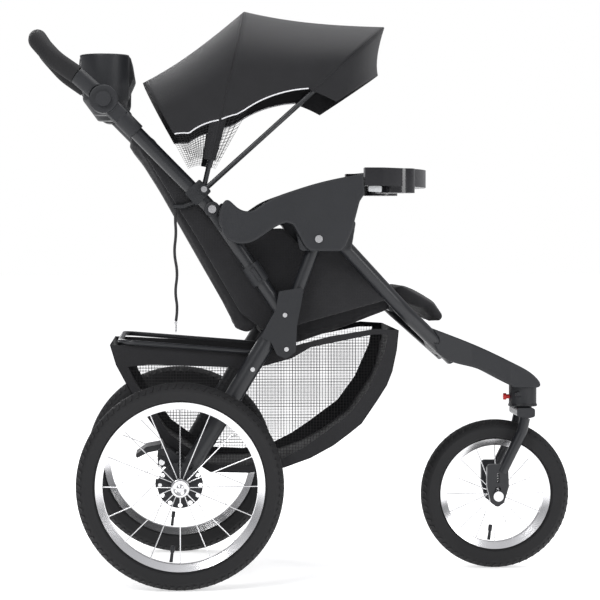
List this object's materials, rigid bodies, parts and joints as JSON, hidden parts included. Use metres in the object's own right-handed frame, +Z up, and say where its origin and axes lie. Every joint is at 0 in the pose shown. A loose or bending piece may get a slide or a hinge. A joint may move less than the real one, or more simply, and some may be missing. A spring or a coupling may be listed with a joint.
{
  "type": "jogging stroller",
  "caption": "Three-wheel jogging baby stroller with folding frame, arched canopy, reclining padded seat, child tray, parent console and storage basket.",
  "frame": {"origin": "on the ground under the middle of the stroller's outline", "axes": "+X forwards, +Y to the seated child's left, +Z up"},
  "size_m": [1.1224, 0.598, 1.1607],
  "materials": {
    "frame_black": "satin powder coat",
    "moulded_black": "fine moulded grain",
    "tray_plastic": "satin gloss",
    "tyre_rubber": "blocked tread",
    "polished_alloy": "polished",
    "bright_steel": "bright plated",
    "black_cloth": "plain weave polyester",
    "black_mesh": "open mesh and cloth",
    "grip_foam": "closed cell foam",
    "webbing": "woven webbing",
    "red_plastic": "gloss",
    "grey_plastic": "satin"
  },
  "bodies": {
    "chassis": {"armrest_right": "moulded_black", "armrest_left": "moulded_black", "pivot_pins": "bright_steel", "footrest": "moulded_black", "swivel_housing": "moulded_black", "front_frame": "frame_black", "seat_cushion": "black_cloth", "seat_sides": "black_cloth", "calf_pad": "black_cloth", "crotch_strap": "webbing", "buckle": "moulded_black", "basket": "black_mesh"},
    "rear_legs": {"rear_leg_uppers": "frame_black", "rear_leg_lowers": "frame_black", "leg_brackets": "moulded_black", "rear_axle": "frame_black", "basket_rim": "frame_black", "leg_screws": "bright_steel", "brake_brackets": "moulded_black"},
    "brake_pedal": {"brake_pedal": "frame_black"},
    "brake_pin_right": {"brake_pin_right": "bright_steel"},
    "brake_pin_left": {"brake_pin_left": "bright_steel"},
    "rear_wheel_right": {"rear_tyre_right": "tyre_rubber", "rear_rim_right": "polished_alloy", "rear_hub_right": "moulded_black"},
    "rear_wheel_left": {"rear_tyre_left": "tyre_rubber", "rear_rim_left": "polished_alloy", "rear_hub_left": "moulded_black"},
    "push_frame": {"push_tubes": "frame_black", "joint_shells_lower": "moulded_black", "console": "moulded_black", "canopy_clips": "moulded_black", "push_frame_pins": "bright_steel", "strap_anchor": "moulded_black", "recline_strap": "webbing", "strap_hook": "bright_steel"},
    "fold_latch_right": {"fold_latch_right": "moulded_black"},
    "fold_latch_left": {"fold_latch_left": "moulded_black"},
    "handlebar": {"handlebar": "frame_black", "handle_grip": "grip_foam", "joint_shells_upper": "moulded_black"},
    "handle_button_right": {"handle_button_right": "moulded_black"},
    "handle_button_left": {"handle_button_left": "moulded_black"},
    "mid_bow": {"mid_bow": "frame_black", "canopy_rear": "black_cloth"},
    "front_bow": {"front_bow": "frame_black", "canopy_front": "black_cloth", "visor": "black_cloth"},
    "seat_back": {"seat_back": "black_cloth", "shoulder_straps": "webbing"},
    "buckle_button": {"buckle_button": "red_plastic"},
    "child_tray": {"child_tray": "tray_plastic"},
    "tray_latches": {"tray_latches": "grey_plastic"},
    "fork": {"fork": "frame_black", "fork_springs": "bright_steel"},
    "front_carriage": {"front_axle": "bright_steel"},
    "front_wheel": {"front_tyre": "tyre_rubber", "front_rim": "polished_alloy", "front_hub": "moulded_black"},
    "swivel_knob": {"swivel_knob": "red_plastic"}
  },
  "joints": [
    {"name": "frame_fold", "type": "hinge", "parent": "chassis", "child": "push_frame", "pos_m": [-0.19175, 0, 0.751], "axis": [0, 1, 0], "range_deg": [0, 96]},
    {"name": "leg_fold", "type": "hinge", "parent": "chassis", "child": "rear_legs", "pos_m": [0.01725, 0, 0.692], "axis": [0, -1, 0], "range_deg": [0, 43.2], "deforming": ["basket"]},
    {"name": "canopy_mid", "type": "hinge", "parent": "push_frame", "child": "mid_bow", "pos_m": [-0.20775, 0, 0.79], "axis": [0, -1, 0], "range_deg": [0, 45.12], "deforming": ["canopy_rear"]},
    {"name": "canopy_front", "type": "hinge", "parent": "mid_bow", "child": "front_bow", "pos_m": [-0.20775, 0, 0.79], "axis": [0, -1, 0], "range_deg": [0, 32.64], "deforming": ["canopy_front"]},
    {"name": "handle_angle", "type": "hinge", "parent": "push_frame", "child": "handlebar", "pos_m": [-0.40575, 0, 0.968], "axis": [0, 1, 0], "range_deg": [-30, 20]},
    {"name": "handle_button_l", "type": "slide", "parent": "push_frame", "child": "handle_button_left", "axis": [0, -1, 0], "range_m": [0, 0.004], "stiffness_N_per_m": 400, "springref_m": -0.003},
    {"name": "handle_button_r", "type": "slide", "parent": "push_frame", "child": "handle_button_right", "axis": [0, 1, 0], "range_m": [0, 0.004]},
    {"name": "fold_latch_l", "type": "slide", "parent": "push_frame", "child": "fold_latch_left", "axis": [-0.5593, 0, 0.8289], "range_m": [0, 0.018], "stiffness_N_per_m": 200, "springref_m": -0.02},
    {"name": "fold_latch_r", "type": "slide", "parent": "push_frame", "child": "fold_latch_right", "axis": [-0.5593, 0, 0.8289], "range_m": [0, 0.018]},
    {"name": "seat_recline", "type": "hinge", "parent": "chassis", "child": "seat_back", "pos_m": [-0.11775, 0, 0.52], "axis": [0, 1, 0], "range_deg": [-25, 10]},
    {"name": "buckle_press", "type": "slide", "parent": "chassis", "child": "buckle_button", "axis": [-0.9703, 0, -0.2419], "range_m": [0, 0.0025], "stiffness_N_per_m": 300, "springref_m": -0.002},
    {"name": "tray_pull", "type": "slide", "parent": "chassis", "child": "child_tray", "axis": [1, 0, 0], "range_m": [0, 0.06]},
    {"name": "tray_release", "type": "slide", "parent": "child_tray", "child": "tray_latches", "axis": [1, 0, 0], "range_m": [0, 0.003], "stiffness_N_per_m": 300, "springref_m": -0.003},
    {"name": "fork_swivel", "type": "hinge", "parent": "chassis", "child": "fork", "pos_m": [0.46425, 0, 0], "axis": [0, 0, 1], "continuous": true},
    {"name": "front_suspension", "type": "slide", "parent": "fork", "child": "front_carriage", "axis": [0, 0, 1], "range_m": [0, 0.012], "stiffness_N_per_m": 9000, "springref_m": -0.014, "deforming": ["fork_springs"]},
    {"name": "front_wheel_spin", "type": "hinge", "parent": "front_carriage", "child": "front_wheel", "pos_m": [0.40525, 0, 0.156], "axis": [0, 1, 0], "continuous": true},
    {"name": "swivel_lock", "type": "slide", "parent": "chassis", "child": "swivel_knob", "axis": [1, 0, 0], "range_m": [0, 0.004]},
    {"name": "rear_wheel_spin_r", "type": "hinge", "parent": "rear_legs", "child": "rear_wheel_right", "pos_m": [-0.25575, -0.27, 0.205], "axis": [0, 1, 0], "continuous": true},
    {"name": "rear_wheel_spin_l", "type": "hinge", "parent": "rear_legs", "child": "rear_wheel_left", "pos_m": [-0.25575, 0.27, 0.205], "axis": [0, 1, 0], "continuous": true},
    {"name": "brake_press", "type": "hinge", "parent": "rear_legs", "child": "brake_pedal", "pos_m": [-0.28975, 0, 0.262], "axis": [0, -1, 0], "range_deg": [0, 20]},
    {"name": "brake_pin_slide_l", "type": "slide", "parent": "rear_legs", "child": "brake_pin_left", "axis": [0, 1, 0], "range_m": [0, 0.008]},
    {"name": "brake_pin_slide_r", "type": "slide", "parent": "rear_legs", "child": "brake_pin_right", "axis": [0, -1, 0], "range_m": [0, 0.008]}
  ],
  "couplings": [
    {"joint": "leg_fold", "follows": "frame_fold", "ratio": 0.45},
    {"joint": "canopy_mid", "follows": "frame_fold", "ratio": 0.47},
    {"joint": "canopy_front", "follows": "frame_fold", "ratio": 0.34},
    {"joint": "handle_button_r", "follows": "handle_button_l", "ratio": 1},
    {"joint": "fold_latch_r", "follows": "fold_latch_l", "ratio": 1},
    {"joint": "brake_pin_slide_l", "follows": "brake_press", "m_per_rad": 0.0229},
    {"joint": "brake_pin_slide_r", "follows": "brake_press", "m_per_rad": 0.0229}
  ]
}
